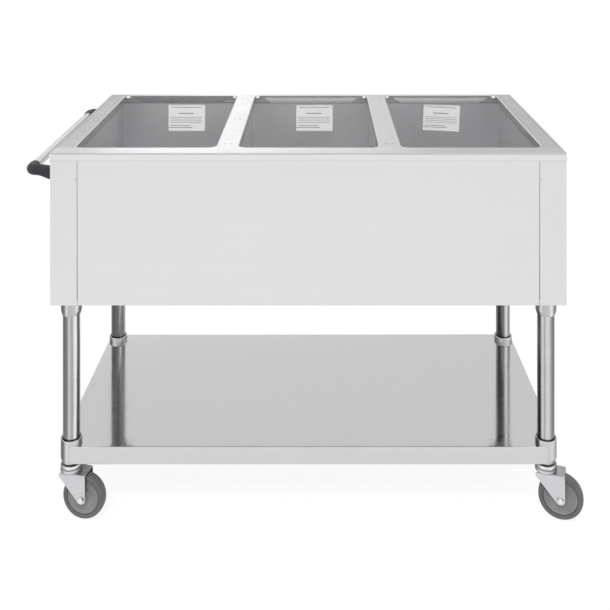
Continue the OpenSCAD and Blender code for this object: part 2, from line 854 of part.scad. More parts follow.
module tyre_front_left() { tyre(corners[0], yaw_front_left); }
module tyre_front_right() { tyre(corners[1], yaw_front_right); }
module tyre_rear_left() { tyre(corners[2], yaw_rear_left); }
module tyre_rear_right() { tyre(corners[3], yaw_rear_right); }

// Foot pedal above the wheel, with its pin and the pad that meets the tyre
module brake_pedal(corner, yaw) {
    half = fork_half - fork_t - 0.6;
    color(bright) at_caster(corner, yaw) translate([pedal_pivot[0], 0, pedal_pivot[1]]) {
        rotate([90, 0, 0]) cylinder(r = 2, h = 2 * fork_half + 2, center = true, $fn = 32);
        rotate([90, 0, 0]) cylinder(r = 4.5, h = 2 * half, center = true);
        translate([0, -half, 1.5]) cube([38, 2 * half, 3]);
        span([3, -9, -9], [8, 9, 3]);
    }
}

module brake_pedal_rear_left() { brake_pedal(corners[2], yaw_rear_left); }
module brake_pedal_rear_right() { brake_pedal(corners[3], yaw_rear_right); }

// ---------------------------------------------------------------- nodes

top_deck();
front_panel();
left_end_panel();
right_end_panel();
rear_control_panel();
bottom_panel();
well_liner_left();
well_liner_centre();
well_liner_right();
heating_element_left();
heating_element_centre();
heating_element_right();
element_supports();
deck_channels();
well_insulation();
control_switches();
pilot_lamps();
terminal_block();
wiring_harness();
power_cord();
cord_clips();
strain_relief();
power_plug();
leg_sockets();
leg_front_left();
leg_front_right();
leg_rear_left();
leg_rear_right();
undershelf();
shelf_sleeves();
shelf_stiffener();
set_screws();
handle_bar();
handle_elbow_front();
handle_elbow_rear();
handle_screws();
well_labels();
panel_rivets();
caster_stems();
knob_left();
knob_centre();
knob_right();
caster_fork_front_left();
caster_fork_front_right();
caster_fork_rear_left();
caster_fork_rear_right();
caster_axle_front_left();
caster_axle_front_right();
caster_axle_rear_left();
caster_axle_rear_right();
wheel_hub_front_left();
wheel_hub_front_right();
wheel_hub_rear_left();
wheel_hub_rear_right();
tyre_front_left();
tyre_front_right();
tyre_rear_left();
tyre_rear_right();
brake_pedal_rear_left();
brake_pedal_rear_right();
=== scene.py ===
"""Looks of a mobile three-well steam table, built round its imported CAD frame. Metres, +Z up."""

import json
from math import asin, atan2, copysign, cos, degrees, pi, radians, sin, sqrt

import bmesh
import bpy
from mathutils import Matrix, Vector


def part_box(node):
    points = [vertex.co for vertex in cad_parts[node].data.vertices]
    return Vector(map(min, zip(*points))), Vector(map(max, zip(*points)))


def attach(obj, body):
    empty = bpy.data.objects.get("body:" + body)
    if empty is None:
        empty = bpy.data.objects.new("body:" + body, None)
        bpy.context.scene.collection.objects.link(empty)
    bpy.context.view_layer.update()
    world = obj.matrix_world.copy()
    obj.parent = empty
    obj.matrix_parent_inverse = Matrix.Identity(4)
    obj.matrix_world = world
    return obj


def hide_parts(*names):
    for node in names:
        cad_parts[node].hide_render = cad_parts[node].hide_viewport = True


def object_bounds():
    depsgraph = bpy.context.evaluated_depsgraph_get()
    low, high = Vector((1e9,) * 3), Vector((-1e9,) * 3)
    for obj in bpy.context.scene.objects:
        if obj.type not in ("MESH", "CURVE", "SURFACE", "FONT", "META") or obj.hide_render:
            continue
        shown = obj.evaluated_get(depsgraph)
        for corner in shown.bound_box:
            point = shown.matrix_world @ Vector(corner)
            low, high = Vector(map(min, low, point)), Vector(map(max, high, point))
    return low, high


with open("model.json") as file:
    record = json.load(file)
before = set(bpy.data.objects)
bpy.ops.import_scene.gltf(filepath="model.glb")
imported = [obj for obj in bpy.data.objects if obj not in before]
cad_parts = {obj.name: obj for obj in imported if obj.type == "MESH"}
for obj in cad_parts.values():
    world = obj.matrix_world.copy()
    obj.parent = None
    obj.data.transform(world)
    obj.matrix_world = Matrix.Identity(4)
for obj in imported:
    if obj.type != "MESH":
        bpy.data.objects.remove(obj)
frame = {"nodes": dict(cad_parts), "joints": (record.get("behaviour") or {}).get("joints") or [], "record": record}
cad_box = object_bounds()

MM = 0.001
UP = Vector((0, 0, 1))
CORNERS = ("front_left", "front_right", "rear_left", "rear_right")
WELLS = ("left", "centre", "right")
JOINTS = {joint["name"]: joint for joint in frame["joints"]}
DECK_LOW, DECK_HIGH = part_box("top_deck")
SLEEVE_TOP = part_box("shelf_sleeves")[1].z
SAME_POINT = 1e-6


def pivot(joint):
    """The point that a joint's axis passes through."""
    return Vector(JOINTS[joint]["pos_m"])


CROWN = pivot("caster_front_left_swivel").z
LEG_AXES = [pivot(f"caster_{corner}_swivel") for corner in CORNERS]
LEG_X, LEG_Y = LEG_AXES[3].xy


# -------- mesh helpers

def mm(*points):
    """Points given in millimetres, in metres."""
    return [tuple(value * MM for value in point) for point in points]


def rounded(points, radius, steps=5, closed=True):
    """The polyline with each corner rounded by a short curve that starts radius before it."""
    most_of_half = 0.48
    result = []
    count = len(points)
    for i, corner in enumerate(points):
        corner = Vector(corner)
        if not closed and i in (0, count - 1):
            result.append(corner)
            continue
        before = Vector(points[i - 1]) - corner
        after = Vector(points[(i + 1) % count]) - corner
        reach = min(radius, before.length * most_of_half, after.length * most_of_half)
        start = corner + before.normalized() * reach
        end = corner + after.normalized() * reach
        for k in range(steps + 1):
            t = k / steps
            result.append(start * (1 - t) ** 2 + corner * 2 * t * (1 - t) + end * t * t)
    return result


def arc(centre, radius, start, end, steps):
    """Points on a circle from one angle to another, in degrees."""
    points = []
    for k in range(steps + 1):
        angle = radians(start + (end - start) * k / steps)
        points.append(Vector((centre[0] + radius * cos(angle), centre[1] + radius * sin(angle))))
    return points


def join_meshes(parts):
    """One (vertices, faces) pair from several."""
    vertices, faces = [], []
    for part_vertices, part_faces in parts:
        base = len(vertices)
        vertices += part_vertices
        faces += [tuple(base + i for i in face) for face in part_faces]
    return vertices, faces


def moved(part, matrix):
    vertices, faces = part
    return [matrix @ Vector(v) for v in vertices], faces


def lathe(profile, segments=96):
    """A solid of revolution about Z from a (radius, z) outline that is closed or ends on Z."""
    vertices = []
    for k in range(segments):
        angle = 2 * pi * k / segments
        vertices += [Vector((r * cos(angle), r * sin(angle), z)) for r, z in profile]
    count = len(profile)
    faces = []
    for k in range(segments):
        here, there = k * count, (k + 1) % segments * count
        for i in range(count):
            j = (i + 1) % count
            if profile[i][0] > 0 or profile[j][0] > 0:
                faces.append((here + i, there + i, there + j, here + j))
    return vertices, faces


def turned(points, radius, steps, segments):
    """A solid of revolution from an outline that starts and ends on Z, its corners rounded."""
    return lathe(rounded(points, radius, steps, closed=False), segments)


def rod(radius, low, high, edge, segments):
    """A round bar along Z with softened ends."""
    return turned([(0, low), (radius, low), (radius, high), (0, high)], edge, 3, segments)


def loft(rings):
    """A skin through rings of equal size, capped at both ends."""
    size = len(rings[0])
    vertices = [Vector(v) for ring in rings for v in ring]
    faces = []
    for here in range(0, len(vertices) - size, size):
        for i in range(size):
            j = (i + 1) % size
            faces.append((here + i, here + j, here + size + j, here + size + i))
    faces.append(tuple(reversed(range(size))))
    faces.append(tuple(range(len(vertices) - size, len(vertices))))
    return vertices, faces


def prism(outline, low, high):
    """A straight solid on an (x, y) outline."""
    return loft([[(p[0], p[1], z) for p in outline] for z in (low, high)])


def slab(low, high):
    outline = [(low[0], low[1]), (high[0], low[1]), (high[0], high[1]), (low[0], high[1])]
    return prism(outline, low[2], high[2])


def add_object(name, data):
    """An object in the scene, at the origin."""
    obj = bpy.data.objects.new(name, data)
    bpy.context.scene.collection.objects.link(obj)
    return obj


def modify(obj, kind, **settings):
    modifier = obj.modifiers.new(kind.lower(), kind)
    for key, value in settings.items():
        setattr(modifier, key, value)


def piece(name, part, material, body, *replaced, slot="stainless_brushed", bevel=0.0, sharp=35):
    """A finished piece: mesh, shading, edge bevel, material, and its place in the frame."""
    mesh = bpy.data.meshes.new(name)
    mesh.from_pydata([tuple(v) for v in part[0]], [], part[1])
    skin = bmesh.new()
    skin.from_mesh(mesh)
    bmesh.ops.remove_doubles(skin, verts=skin.verts, dist=SAME_POINT)
    bmesh.ops.recalc_face_normals(skin, faces=skin.faces)
    skin.to_mesh(mesh)
    skin.free()
    return dress(add_object(name, mesh), material, body, *replaced, slot=slot, bevel=bevel, sharp=sharp)


def sheet_piece(name, skin, material, node, thick):
    """An open skin, turned face up and thickened downwards, in place of a CAD sheet."""
    bmesh.ops.recalc_face_normals(skin, faces=skin.faces)
    if max(skin.faces, key=lambda f: f.calc_area()).normal.z < 0:
        bmesh.ops.reverse_faces(skin, faces=skin.faces)
    mesh = bpy.data.meshes.new(name)
    skin.to_mesh(mesh)
    skin.free()
    dress(add_object(name, mesh), material, "cabinet", node, thick=thick, sharp=50)


def cad_copy(node, name, material, body, bevel=0.0):
    """A new piece with a CAD node's own shape, its flat faces made whole and its edges softened."""
    mesh = frame["nodes"][node].data.copy()
    mesh.name = name
    shape = bmesh.new()
    shape.from_mesh(mesh)
    bmesh.ops.remove_doubles(shape, verts=shape.verts, dist=2 * SAME_POINT)
    flat = radians(0.5)
    bmesh.ops.dissolve_limit(shape, angle_limit=flat, verts=shape.verts, edges=shape.edges)
    shape.to_mesh(mesh)
    shape.free()
    if "custom_normal" in mesh.attributes:
        mesh.attributes.remove(mesh.attributes["custom_normal"])
    slot = next(s["material_slot"] for s in frame["record"]["subparts"] if s["node"] == node)
    dress(add_object(name, mesh), material, body, node, slot=slot, bevel=bevel, sharp=30)


def dress(obj, material, body, *replaced, slot="stainless_brushed", bevel=0.0, sharp=35, thick=0.0):
    """Shading, modifiers, material and body of a piece."""
    obj.data.shade_smooth()
    obj.data.set_sharp_from_angle(angle=radians(sharp))
    obj.data.materials.clear()
    obj.data.materials.append(material)
    if thick:
        modify(obj, "SOLIDIFY", thickness=thick, offset=-1, use_even_offset=True)
    if bevel:
        modify(obj, "BEVEL", width=bevel, segments=2, limit_method="ANGLE", angle_limit=radians(40))
    if bevel or thick:
        modify(obj, "WEIGHTED_NORMAL", keep_sharp=True, weight=80)
    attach(obj, body)
    if replaced:
        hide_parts(*replaced)
    return obj


# -------- materials

class Graph:
    """Short calls for the nodes that the looks and the studio share."""

    def __init__(self, tree, coordinate="Object"):
        self.tree = tree
        self.place = self.node("TexCoord").outputs[coordinate]

    def feed(self, socket, value):
        """Links an output to a socket, or sets the socket to a plain value."""
        if isinstance(value, bpy.types.NodeSocket):
            self.tree.links.new(value, socket)
        else:
            socket.default_value = value

    def node(self, kind, inputs=None, **settings):
        node = self.tree.nodes.new("ShaderNode" + kind)
        for key, value in settings.items():
            setattr(node, key, value)
        for key, value in (inputs or {}).items():
            self.feed(node.inputs[key], value)
        return node

    def noise(self, scale, detail=3.0, stretch=(1, 1, 1), rough=0.5):
        place = self.node("Mapping", {"Scale": stretch, "Vector": self.place})
        return self.node("TexNoise", {
            "Scale": scale, "Detail": detail, "Roughness": rough, "Vector": place.outputs["Vector"]
        }).outputs["Fac"]

    def ramp(self, value, low, high, from_low=0.3, from_high=0.7):
        """value mapped smoothly to the range low..high."""
        return self.node("MapRange", {
            "Value": value, "From Min": from_low, "From Max": from_high, "To Min": low, "To Max": high
        }, interpolation_type="SMOOTHSTEP").outputs["Result"]

    def math(self, operation, a, b=0.0, c=0.5):
        return self.node("Math", {0: a, 1: b, 2: c}, operation=operation).outputs[0]

    def plus(self, total, *others):
        for other in others:
            total = self.math("ADD", total, other)
        return total

    def times(self, product, *others):
        for other in others:
            product = self.math("MULTIPLY", product, other)
        return product

    def minus(self, a, b):
        return self.math("SUBTRACT", a, b)

    def split(self, vector):
        return self.node("SeparateXYZ", {0: vector}).outputs

    def in_camera(self, vector, kind="VECTOR"):
        """x, y, z of a world vector as the camera has it: right, up, ahead."""
        node = self.node("VectorTransform", {0: vector}, vector_type=kind,
                         convert_from="WORLD", convert_to="CAMERA")
        return self.split(node.outputs[0])

    def hill(self, value, centre, width, height):
        """A smooth hill of the given height over a value."""
        offset = self.math("DIVIDE", self.minus(value, centre), width)
        return self.times(self.math("EXPONENT", self.times(offset, offset, -1.0)), height)


class Shader(Graph):
    """A Principled material."""

    def __init__(self, name, color, metallic=0.0, roughness=0.5):
        self.material = bpy.data.materials.new(name)
        self.material.use_nodes = True
        super().__init__(self.material.node_tree)
        self.surface = self.tree.nodes["Principled BSDF"]
        self.set("Base Color", (*color, 1))
        self.set("Metallic", metallic)
        self.set("Roughness", roughness)
        self.geometry = self.node("NewGeometry").outputs

    def set(self, name, value):
        self.feed(self.surface.inputs[name], value)

    def paint(self, factor, color_a, color_b):
        """A base colour that goes from one colour to another as the factor goes from 0 to 1."""
        self.set("Base Color", self.node("Mix", {
            "Factor": factor, 6: (*color_a, 1), 7: (*color_b, 1)
        }, data_type="RGBA").outputs[2])

    def bump(self, height, strength, distance, edge=0.0):
        """Surface relief, on edges rounded by the given radius."""
        self.relief = self.node("Bump", {
            "Strength": strength, "Distance": distance, "Height": height
        })
        if edge:
            soft = self.node("Bevel", {"Radius": edge}, samples=4)
            self.feed(self.relief.inputs["Normal"], soft.outputs["Normal"])
        self.set("Normal", self.relief.outputs["Normal"])

    def multiply(self, amount, color):
        """Multiplies the base colour by a colour, as far as the amount from 0 to 1 says."""
        source = self.surface.inputs["Base Color"].links[0].from_socket
        self.set("Base Color", self.node("Mix", {
            "Factor": amount, 6: source, 7: color
        }, data_type="RGBA", blend_type="MULTIPLY").outputs[2])

    def darken(self, amount, level):
        self.multiply(amount, (level, level, level, 1))

    def shade_band(self, low, high, level):
        """Painted shade that grows between two heights and stays above them."""
        self.darken(self.ramp(self.split(self.place)[2], 0.0, 1.0, low, high), level)

    def shade_line(self, height, width, level):
        """A thin line of painted shade round a piece at a height, where a tight fold, a hem or a gap would throw
        shade.
        """
        self.darken(self.hill(self.split(self.place)[2], height, width, 1.0), level)

    def shade_across(self, value, stops, amount=1.0):
        """Multiplies the base colour by levels that follow a value; stops run from -1 to 1."""
        ramp = self.node("ValToRGB", {0: self.math("MULTIPLY_ADD", value, 0.5, 0.5)})
        elements = ramp.color_ramp.elements
        while len(elements) < len(stops):
            elements.new(0.5)
        for element, (position, level) in zip(elements, stops):
            element.position = position * 0.5 + 0.5
            element.color = (level, level, level * 1.01, 1)
        self.multiply(amount, ramp.outputs[0])

    def paint_flag_reflections(self, stops, sway):
        """Painted reflection bands along a round piece, as studio flags would leave them; stops run from its left
        to its right.
        """
        normal = self.in_camera(self.geometry["Normal"], "NORMAL")
        view = self.in_camera(self.geometry["Incoming"])
        side = self.minus(self.times(normal[2], view[0]), self.times(normal[0], view[2]))
        level_view = self.math("SQRT", self.plus(
            self.times(view[0], view[0]), self.times(view[2], view[2])))
        across = self.math("DIVIDE", side, level_view)
        slow = self.noise(1.0, 2, (9, 9, 4.5))
        self.shade_across(self.plus(across, self.times(self.minus(slow, 0.5), sway)), stops)


def gray(level):
    return (level, level, level * 1.012)


def brushed_steel(name, level, roughness, along, grain=0.12, wave=0.0, smudge=0.05, streak=0.03):
    """Stainless sheet with its grain along one axis, faint handling marks and slight waviness."""
    shader = Shader(name, gray(level), metallic=1.0, roughness=roughness)
    stretch = tuple(0.02 if axis == along else 1.0 for axis in "XYZ")
    lines = shader.noise(900, 4, stretch, 0.7)
    streaks = shader.noise(60, 3, stretch, 0.6)
    marks = shader.noise(5.5, 5, rough=0.62)
    shader.set("Roughness", shader.plus(
        shader.ramp(lines, -0.05, 0.05), shader.ramp(marks, 0.0, smudge), roughness))
    tone = shader.plus(shader.ramp(streaks, 0.0, 0.6), shader.ramp(marks, 0.0, 0.4))
    shader.paint(tone, gray(level), gray(level * (1 - streak)))
    relief = shader.times(lines, 0.25)
    if wave:
        relief = shader.plus(relief, shader.times(shader.noise(3.2, 1, rough=0.4), wave))
    shader.bump(relief, grain, 0.4 * MM, edge=0.6 * MM)
    return shader


def polished_tube(name, level):
    """Polished tube: fine rings left by the polishing belt, and faint fingerprints."""
    roughness = 0.07
    shader = Shader(name, gray(level), metallic=1.0, roughness=roughness)
    rings = shader.noise(700, 2, (0.03, 0.03, 1))
    prints = shader.noise(38, 4, (1, 1, 0.6), 0.6)
    shader.set("Roughness", shader.plus(
        shader.ramp(rings, 0, 0.04), shader.ramp(prints, 0, 0.06, 0.5, 0.8), roughness))
    shader.paint(shader.ramp(prints, 0, 1), gray(level), gray(level * 0.95))
    shader.bump(rings, 0.05, 0.3 * MM)
    return shader


def zinc(name, level, roughness=0.3):
    """Bright zinc plate on pressed steel: fine pitting and a slightly uneven tone."""
    shader = Shader(name, gray(level), metallic=1.0, roughness=roughness)
    cloud = shader.noise(85, 5, rough=0.65)
    shader.set("Roughness", shader.ramp(cloud, roughness - 0.06, roughness + 0.12))
    shader.paint(cloud, gray(level), (level * 0.86, level * 0.87, level * 0.9))
    shader.bump(shader.noise(1500, 2), 0.08, 0.3 * MM, edge=0.5 * MM)
    return shader


def galvanised():
    """Galvanised sheet with its crystal spangle."""
    shader = Shader("galvanised", gray(0.5), metallic=0.9, roughness=0.45)
    cells = shader.node("TexVoronoi", {"Scale": 60, "Vector": shader.place})
    shader.paint(cells.outputs["Color"], gray(0.42), gray(0.62))
    shader.set("Roughness", shader.ramp(shader.noise(40), 0.35, 0.55))
    shader.bump(cells.outputs["Distance"], 0.05, 0.5 * MM, edge=0.5 * MM)
    return shader.material


def moulded(name, color, roughness, grain_scale=1400, grain=0.25):
    """Moulded plastic or rubber: fine surface grain and slightly polished patches."""
    wear = 0.12
    shader = Shader(name, color, roughness=roughness)
    patches = shader.noise(30, 4, rough=0.6)
    shader.set("Roughness", shader.ramp(patches, roughness - wear, roughness + wear))
    lighter = tuple(min(1.0, c * 1.25 + 0.004) for c in color)
    shader.paint(shader.ramp(patches, 0, 1), color, lighter)
    shader.bump(shader.noise(grain_scale, 2), grain, 0.2 * MM, edge=0.5 * MM)
    return shader.material


def heated_sheath():
    """Heating tube that has been hot: dark oxide with brown and blue patches."""
    shader = Shader("heated_sheath", gray(0.2), metallic=0.9, roughness=0.5)
    patches = shader.ramp(shader.noise(14), 0, 1)
    shader.paint(patches, (0.16, 0.13, 0.12), (0.30, 0.29, 0.31))
    shader.set("Roughness", shader.ramp(shader.noise(60), 0.4, 0.6))
    shader.bump(shader.noise(900), 0.2, 0.3 * MM)
    return shader.material


def paper(name, color):
    shader = Shader(name, color, roughness=0.85)
    fibres = shader.noise(900, 4, (1, 0.3, 1), 0.7)
    shader.paint(shader.ramp(fibres, 0, 1), color, tuple(c * 0.94 for c in color))
    shader.bump(fibres, 0.15, 0.2 * MM)
    return shader.material


def wool():
    """Mineral wool: yellow fibres with deep relief."""
    shader = Shader("mineral_wool", (0.62, 0.55, 0.32), roughness=0.95)
    fibres = shader.noise(260, 6, (1, 0.2, 1), 0.8)
    tone = shader.ramp(fibres, 0, 1)
    shader.paint(tone, (0.52, 0.45, 0.25), (0.72, 0.66, 0.42))
    shader.bump(fibres, 0.8, 3 * MM)
    return shader.material


def lens():
    """Amber lens of a pilot lamp."""
    shader = Shader("amber_lens", (0.62, 0.10, 0.02), roughness=0.2)
    shader.set("Coat Weight", 0.6)
    shader.set("Subsurface Weight", 0.2)
    shader.set("Subsurface Radius", (0.004, 0.001, 0.0005))
    shader.set("Roughness", shader.ramp(shader.noise(200), 0.12, 0.3))
    shader.bump(shader.noise(500), 0.1, 0.3 * MM)
    return shader.material


# Painted reflections: levels of reflected light painted on the round pieces, from the left edge at -1 to the right
# edge at 1.
BANDS = {
    "socket": [
        (-1, 0.2), (-0.9, 0.15), (-0.76, 0.17), (-0.66, 0.28), (-0.57, 0.6), (-0.46, 0.95),
        (-0.37, 0.64), (-0.25, 0.58), (-0.05, 0.6), (0.1, 0.62), (0.3, 0.66), (0.42, 0.85),
        (0.55, 1), (0.65, 0.8), (0.74, 0.4), (0.82, 0.24), (1, 0.3)],
    "sleeve": [
        (-1, 0.2), (-0.9, 0.14), (-0.78, 0.18), (-0.68, 0.32), (-0.58, 0.66), (-0.46, 0.84),
        (-0.3, 0.74), (0.0, 0.71), (0.3, 0.72), (0.5, 0.78), (0.66, 0.82), (0.78, 0.62),
        (0.9, 0.4), (1, 0.3)],
    "front_left": [
        (-1, 0.25), (-0.83, 0.15), (-0.72, 0.21), (-0.5, 0.26), (-0.39, 0.55), (-0.28, 0.7),
        (-0.17, 0.58), (-0.06, 0.5), (0.06, 0.4), (0.17, 0.55), (0.28, 0.82), (0.39, 1),
        (0.5, 1), (0.61, 0.75), (0.72, 0.28), (0.83, 0.22), (1, 0.6)],
    "front_right": [
        (-1, 0.12), (-0.83, 0.08), (-0.72, 0.07), (-0.61, 0.18), (-0.5, 0.57), (-0.39, 0.75),
        (-0.28, 0.66), (-0.17, 0.42), (-0.06, 0.57), (0.06, 0.76), (0.39, 0.73), (0.5, 0.53),
        (0.61, 0.38), (0.72, 0.3), (0.83, 0.17), (1, 0.35)],
    "rear": [
        (-1, 0.2), (-0.79, 0.155), (-0.64, 0.12), (-0.5, 0.15), (-0.3, 0.19), (-0.07, 0.26),
        (0.07, 0.36), (0.21, 0.54), (0.36, 0.93), (0.5, 1), (0.64, 0.6), (0.79, 0.36),
        (1, 0.7)],
    "race": [
        (-1, 0.08), (-0.8, 0.35), (-0.55, 0.75), (-0.3, 1), (0.1, 0.8), (0.5, 0.95),
        (0.78, 0.5), (1, 0.08)],
    "fork": [
        (-1, 0.25), (-0.8, 0.55), (-0.6, 0.95), (-0.1, 1), (0.3, 0.86), (0.6, 0.6),
        (0.8, 0.35), (1, 0.2)],
    "nut": [(-1, 0.12), (-0.75, 0.3), (-0.55, 1), (0.55, 1), (0.75, 0.3), (1, 0.12)],
}


def dished_rail(shader):
    """Tilts the deck's normal a little towards the front on the front rail, which is dished."""
    tilt, rail_front, rail_back = 0.055, -0.25, -0.232
    y = shader.split(shader.place)[1]
    lean = shader.node("CombineXYZ", {1: shader.ramp(y, -tilt, 0.0, rail_front, rail_back)})
    total = shader.node("VectorMath", {
        0: shader.geometry["Normal"], 1: lean.outputs[0]
    }, operation="ADD")
    shader.feed(shader.relief.inputs["Normal"], total.outputs[0])


def deck_painted_light(shader):
    """Painted light on the deck: reflected light painted unevenly across its top, painted shade on its upright
    faces, flanges, fold and hem, and painted glints and highlights that glow on the openings' stretched corners
    and rolled edges.
    """
    x, y, z = shader.split(shader.place)
    upward = shader.split(shader.geometry["Normal"])[2]
    # Painted reflection: the flat top lighter or darker across the deck, as the studio's reflections fall.
    shader.shade_across(x, [
        (-0.56, 0.76), (-0.49, 0.76), (-0.42, 0.90), (-0.33, 1.0), (-0.24, 0.95), (-0.17, 0.86),
        (0.1, 0.85), (0.2, 0.80), (0.3, 0.74), (0.42, 0.80), (0.56, 0.84)
    ], shader.ramp(upward, 0.0, 1.0, 0.75, 0.95))
    # Painted shade on the faces that do not face upwards.
    shader.darken(shader.ramp(upward, 1.0, 0.0, 0.1, 0.3), 0.90)
    inside = shader.times(
        shader.ramp(shader.math("ABSOLUTE", x), 1.0, 0.0, DECK_HIGH.x - 15 * MM, DECK_HIGH.x - 5 * MM),
        shader.ramp(shader.math("ABSOLUTE", y), 1.0, 0.0, DECK_HIGH.y - 14.5 * MM, DECK_HIGH.y - 6.5 * MM))
    # Painted shade on the flanges inside the openings.
    flange = shader.times(inside, shader.ramp(upward, 1.0, 0.0, 0.3, 0.6))
    shader.darken(flange, 0.85)
    # Painted shade along the outer fold, and a painted shadow line along the apron's hem.
    shader.shade_line(DECK_HIGH.z - 1.9 * MM, 1.1 * MM, 0.45)
    shader.shade_line(DECK_LOW.z + 2.8 * MM, 1.2 * MM, 0.84)
    # Painted glints on the openings' corners and painted highlights on their rolled edges.
    normal = shader.in_camera(shader.geometry["Normal"], "NORMAL")
    turned_side = shader.hill(shader.math("ABSOLUTE", normal[0]), 0.6, 0.22, 1.0)
    facing = shader.ramp(normal[2], 1.0, 0.0, -0.5, -0.3)
    upright = shader.ramp(shader.math("ABSOLUTE", upward), 1.0, 0.0, 0.25, 0.45)
    rim = shader.ramp(z, 0.0, 0.9, DECK_HIGH.z - 7.5 * MM, DECK_HIGH.z - 5 * MM)
    glint = shader.times(turned_side, facing, shader.times(upright, rim))
    away = shader.ramp(normal[2], 0.0, 1.0, -0.3, -0.1)
    roll = shader.times(inside, away, shader.hill(upward, 0.68, 0.22, 0.3))
    # The painted glints and highlights glow as emission, though the deck is no lamp.
    shader.set("Emission Color", (1, 1, 1, 1))
    shader.set("Emission Strength", shader.plus(glint, roll))


def deck_steel():
    shader = brushed_steel("brushed_deck", 0.92, 0.22, "X", grain=0.10, wave=0.6)
    dished_rail(shader)
    deck_painted_light(shader)
    return shader.material


def shelf_steel():
    """Polished sheet, with painted shade on its upright rims."""
    shader = brushed_steel("polished_shelf", 0.755, 0.07, "X", grain=0.01, smudge=0.02, streak=0.01)
    upward = shader.split(shader.geometry["Normal"])[2]
    shader.darken(shader.ramp(upward, 1.0, 0.0, 0.2, 0.5), 0.93)
    return shader.material


def liner_steel():
    """Dull pressed sheet, with painted shade right under the deck and a painted shadow line under the flanges."""
    shader = brushed_steel("dull_liner", 0.84, 0.36, "Z", 0.08, smudge=0.15, streak=0.04)
    shader.shade_band(DECK_HIGH.z - 21 * MM, DECK_HIGH.z - 15 * MM, 0.8)
    shader.shade_line(DECK_HIGH.z - 21.7 * MM, 1.7 * MM, 0.5)
    return shader.material


def collar_steel(bands):
    shader = brushed_steel("turned_" + bands, 0.90, 0.22, "Z", grain=0.08)
    # Painted reflection bands, one copy for the sockets and one for the sleeves.
    shader.paint_flag_reflections(BANDS[bands], 0.06)
    return shader.material


def tube_steel(bands):
    # Lit and shaded copies of one tube: the rear legs get a darker base colour as painted shade, and each copy its
    # own painted reflection bands.
    shader = polished_tube("polished_tube_" + bands, 0.80 if bands == "rear" else 0.92)
    shader.paint_flag_reflections(BANDS[bands], 0.18)
    # Painted shade where the leg goes into its sleeve.
    shader.shade_line(SLEEVE_TOP + 1.0 * MM, 2.0 * MM, 0.25)
    return shader.material


def race_steel():
    shader = brushed_steel("turned_race", 0.96, 0.16, "Z", grain=0.04)
    # Painted reflection bands, painted shade on the neck under the sleeve, and a painted shade line in the gap
    # between the two races.
    shader.paint_flag_reflections(BANDS["race"], 0.05)
    shader.shade_band(CROWN + 14 * MM, CROWN + 17 * MM, 0.12)
    shader.shade_line(CROWN + 8.8 * MM, 1.6 * MM, 0.4)
    return shader.material


def fork_steel():
    shader = zinc("fork_zinc", 0.76)
    # Painted reflection bands, and painted shade lines at the top and the foot of the fork's race.
    shader.paint_flag_reflections(BANDS["fork"], 0.1)
    shader.shade_line(CROWN + 8.0 * MM, 1.6 * MM, 0.4)
    shader.shade_line(CROWN + 0.8 * MM, 1.2 * MM, 0.6)
    return shader.material


def nut_steel():
    shader = zinc("nut_zinc", 0.95, 0.18)
    # Painted reflection bands: the nut's sides darker, its middle faces bright.
    shader.paint_flag_reflections(BANDS["nut"], 0.0)
    return shader.material


sheet_x = brushed_steel("brushed_along_x", 0.80, 0.30, "X", grain=0.06, streak=0.015).material
sheet_end = brushed_steel("brushed_ends", 0.80, 0.30, "Y").material
sheet_liner = liner_steel()
fork_zinc = fork_steel()
nut_zinc = nut_steel()
bright_zinc = zinc("bright_zinc", 0.72).material
dull_zinc = zinc("dull_zinc", 0.6, 0.42).material
spangle = galvanised()
sheath = heated_sheath()
black_plastic = moulded("black_plastic", (0.009, 0.010, 0.013), 0.42)
tyre_rubber = moulded("tyre_rubber", (0.115, 0.115, 0.118), 0.5, 1100, 0.3)
wheel_plastic = moulded("wheel_plastic", (0.215, 0.215, 0.218), 0.42, 900, 0.15)


# -------- deck

SHEET = 1.2 * MM
OPENING_HALF = Vector((155.5 * MM, 254 * MM))
OPENING_RADIUS = 18 * MM
OPENING_BACK = 270 * MM  # from a liner's front edge to the opening's middle
DECK_RADIUS = 3 * MM
EDGE = 2 * MM  # radius of the outer fold
ROLL = 2.2 * MM  # radius of the openings' rolled edges
RIM = 8.6 * MM  # depth of the rim all round an opening
TAB = 8 * MM  # bare rim between a corner and a flange
FLANGE = 20 * MM  # depth of a flange's foot
FLANGE_CUT = 19 * MM  # how much a flange narrows at each end
FLANGE_LEAN = 2.4 * MM
ARC_STEPS = 8


def round_rect(centre, half, radius, tab=0.0):
    """Corner arcs of a rounded rectangle, counter-clockwise from the right front corner.

    A tab adds one more point on the straight sides before and after each arc.
    """
    points = []
    for sx, sy, start in ((1, -1, -90), (1, 1, 0), (-1, 1, 90), (-1, -1, 180)):
        middle = (centre[0] + sx * (half[0] - radius), centre[1] + sy * (half[1] - radius))
        corner = arc(middle, radius, start, start + 90, ARC_STEPS)
        if tab:
            turn = radians(start)
            into = Vector((-sin(turn), cos(turn)))
            away = Vector((-cos(turn), -sin(turn)))
            corner = [corner[0] - into * tab, *corner, corner[-1] + away * tab]
        points += corner
    return points


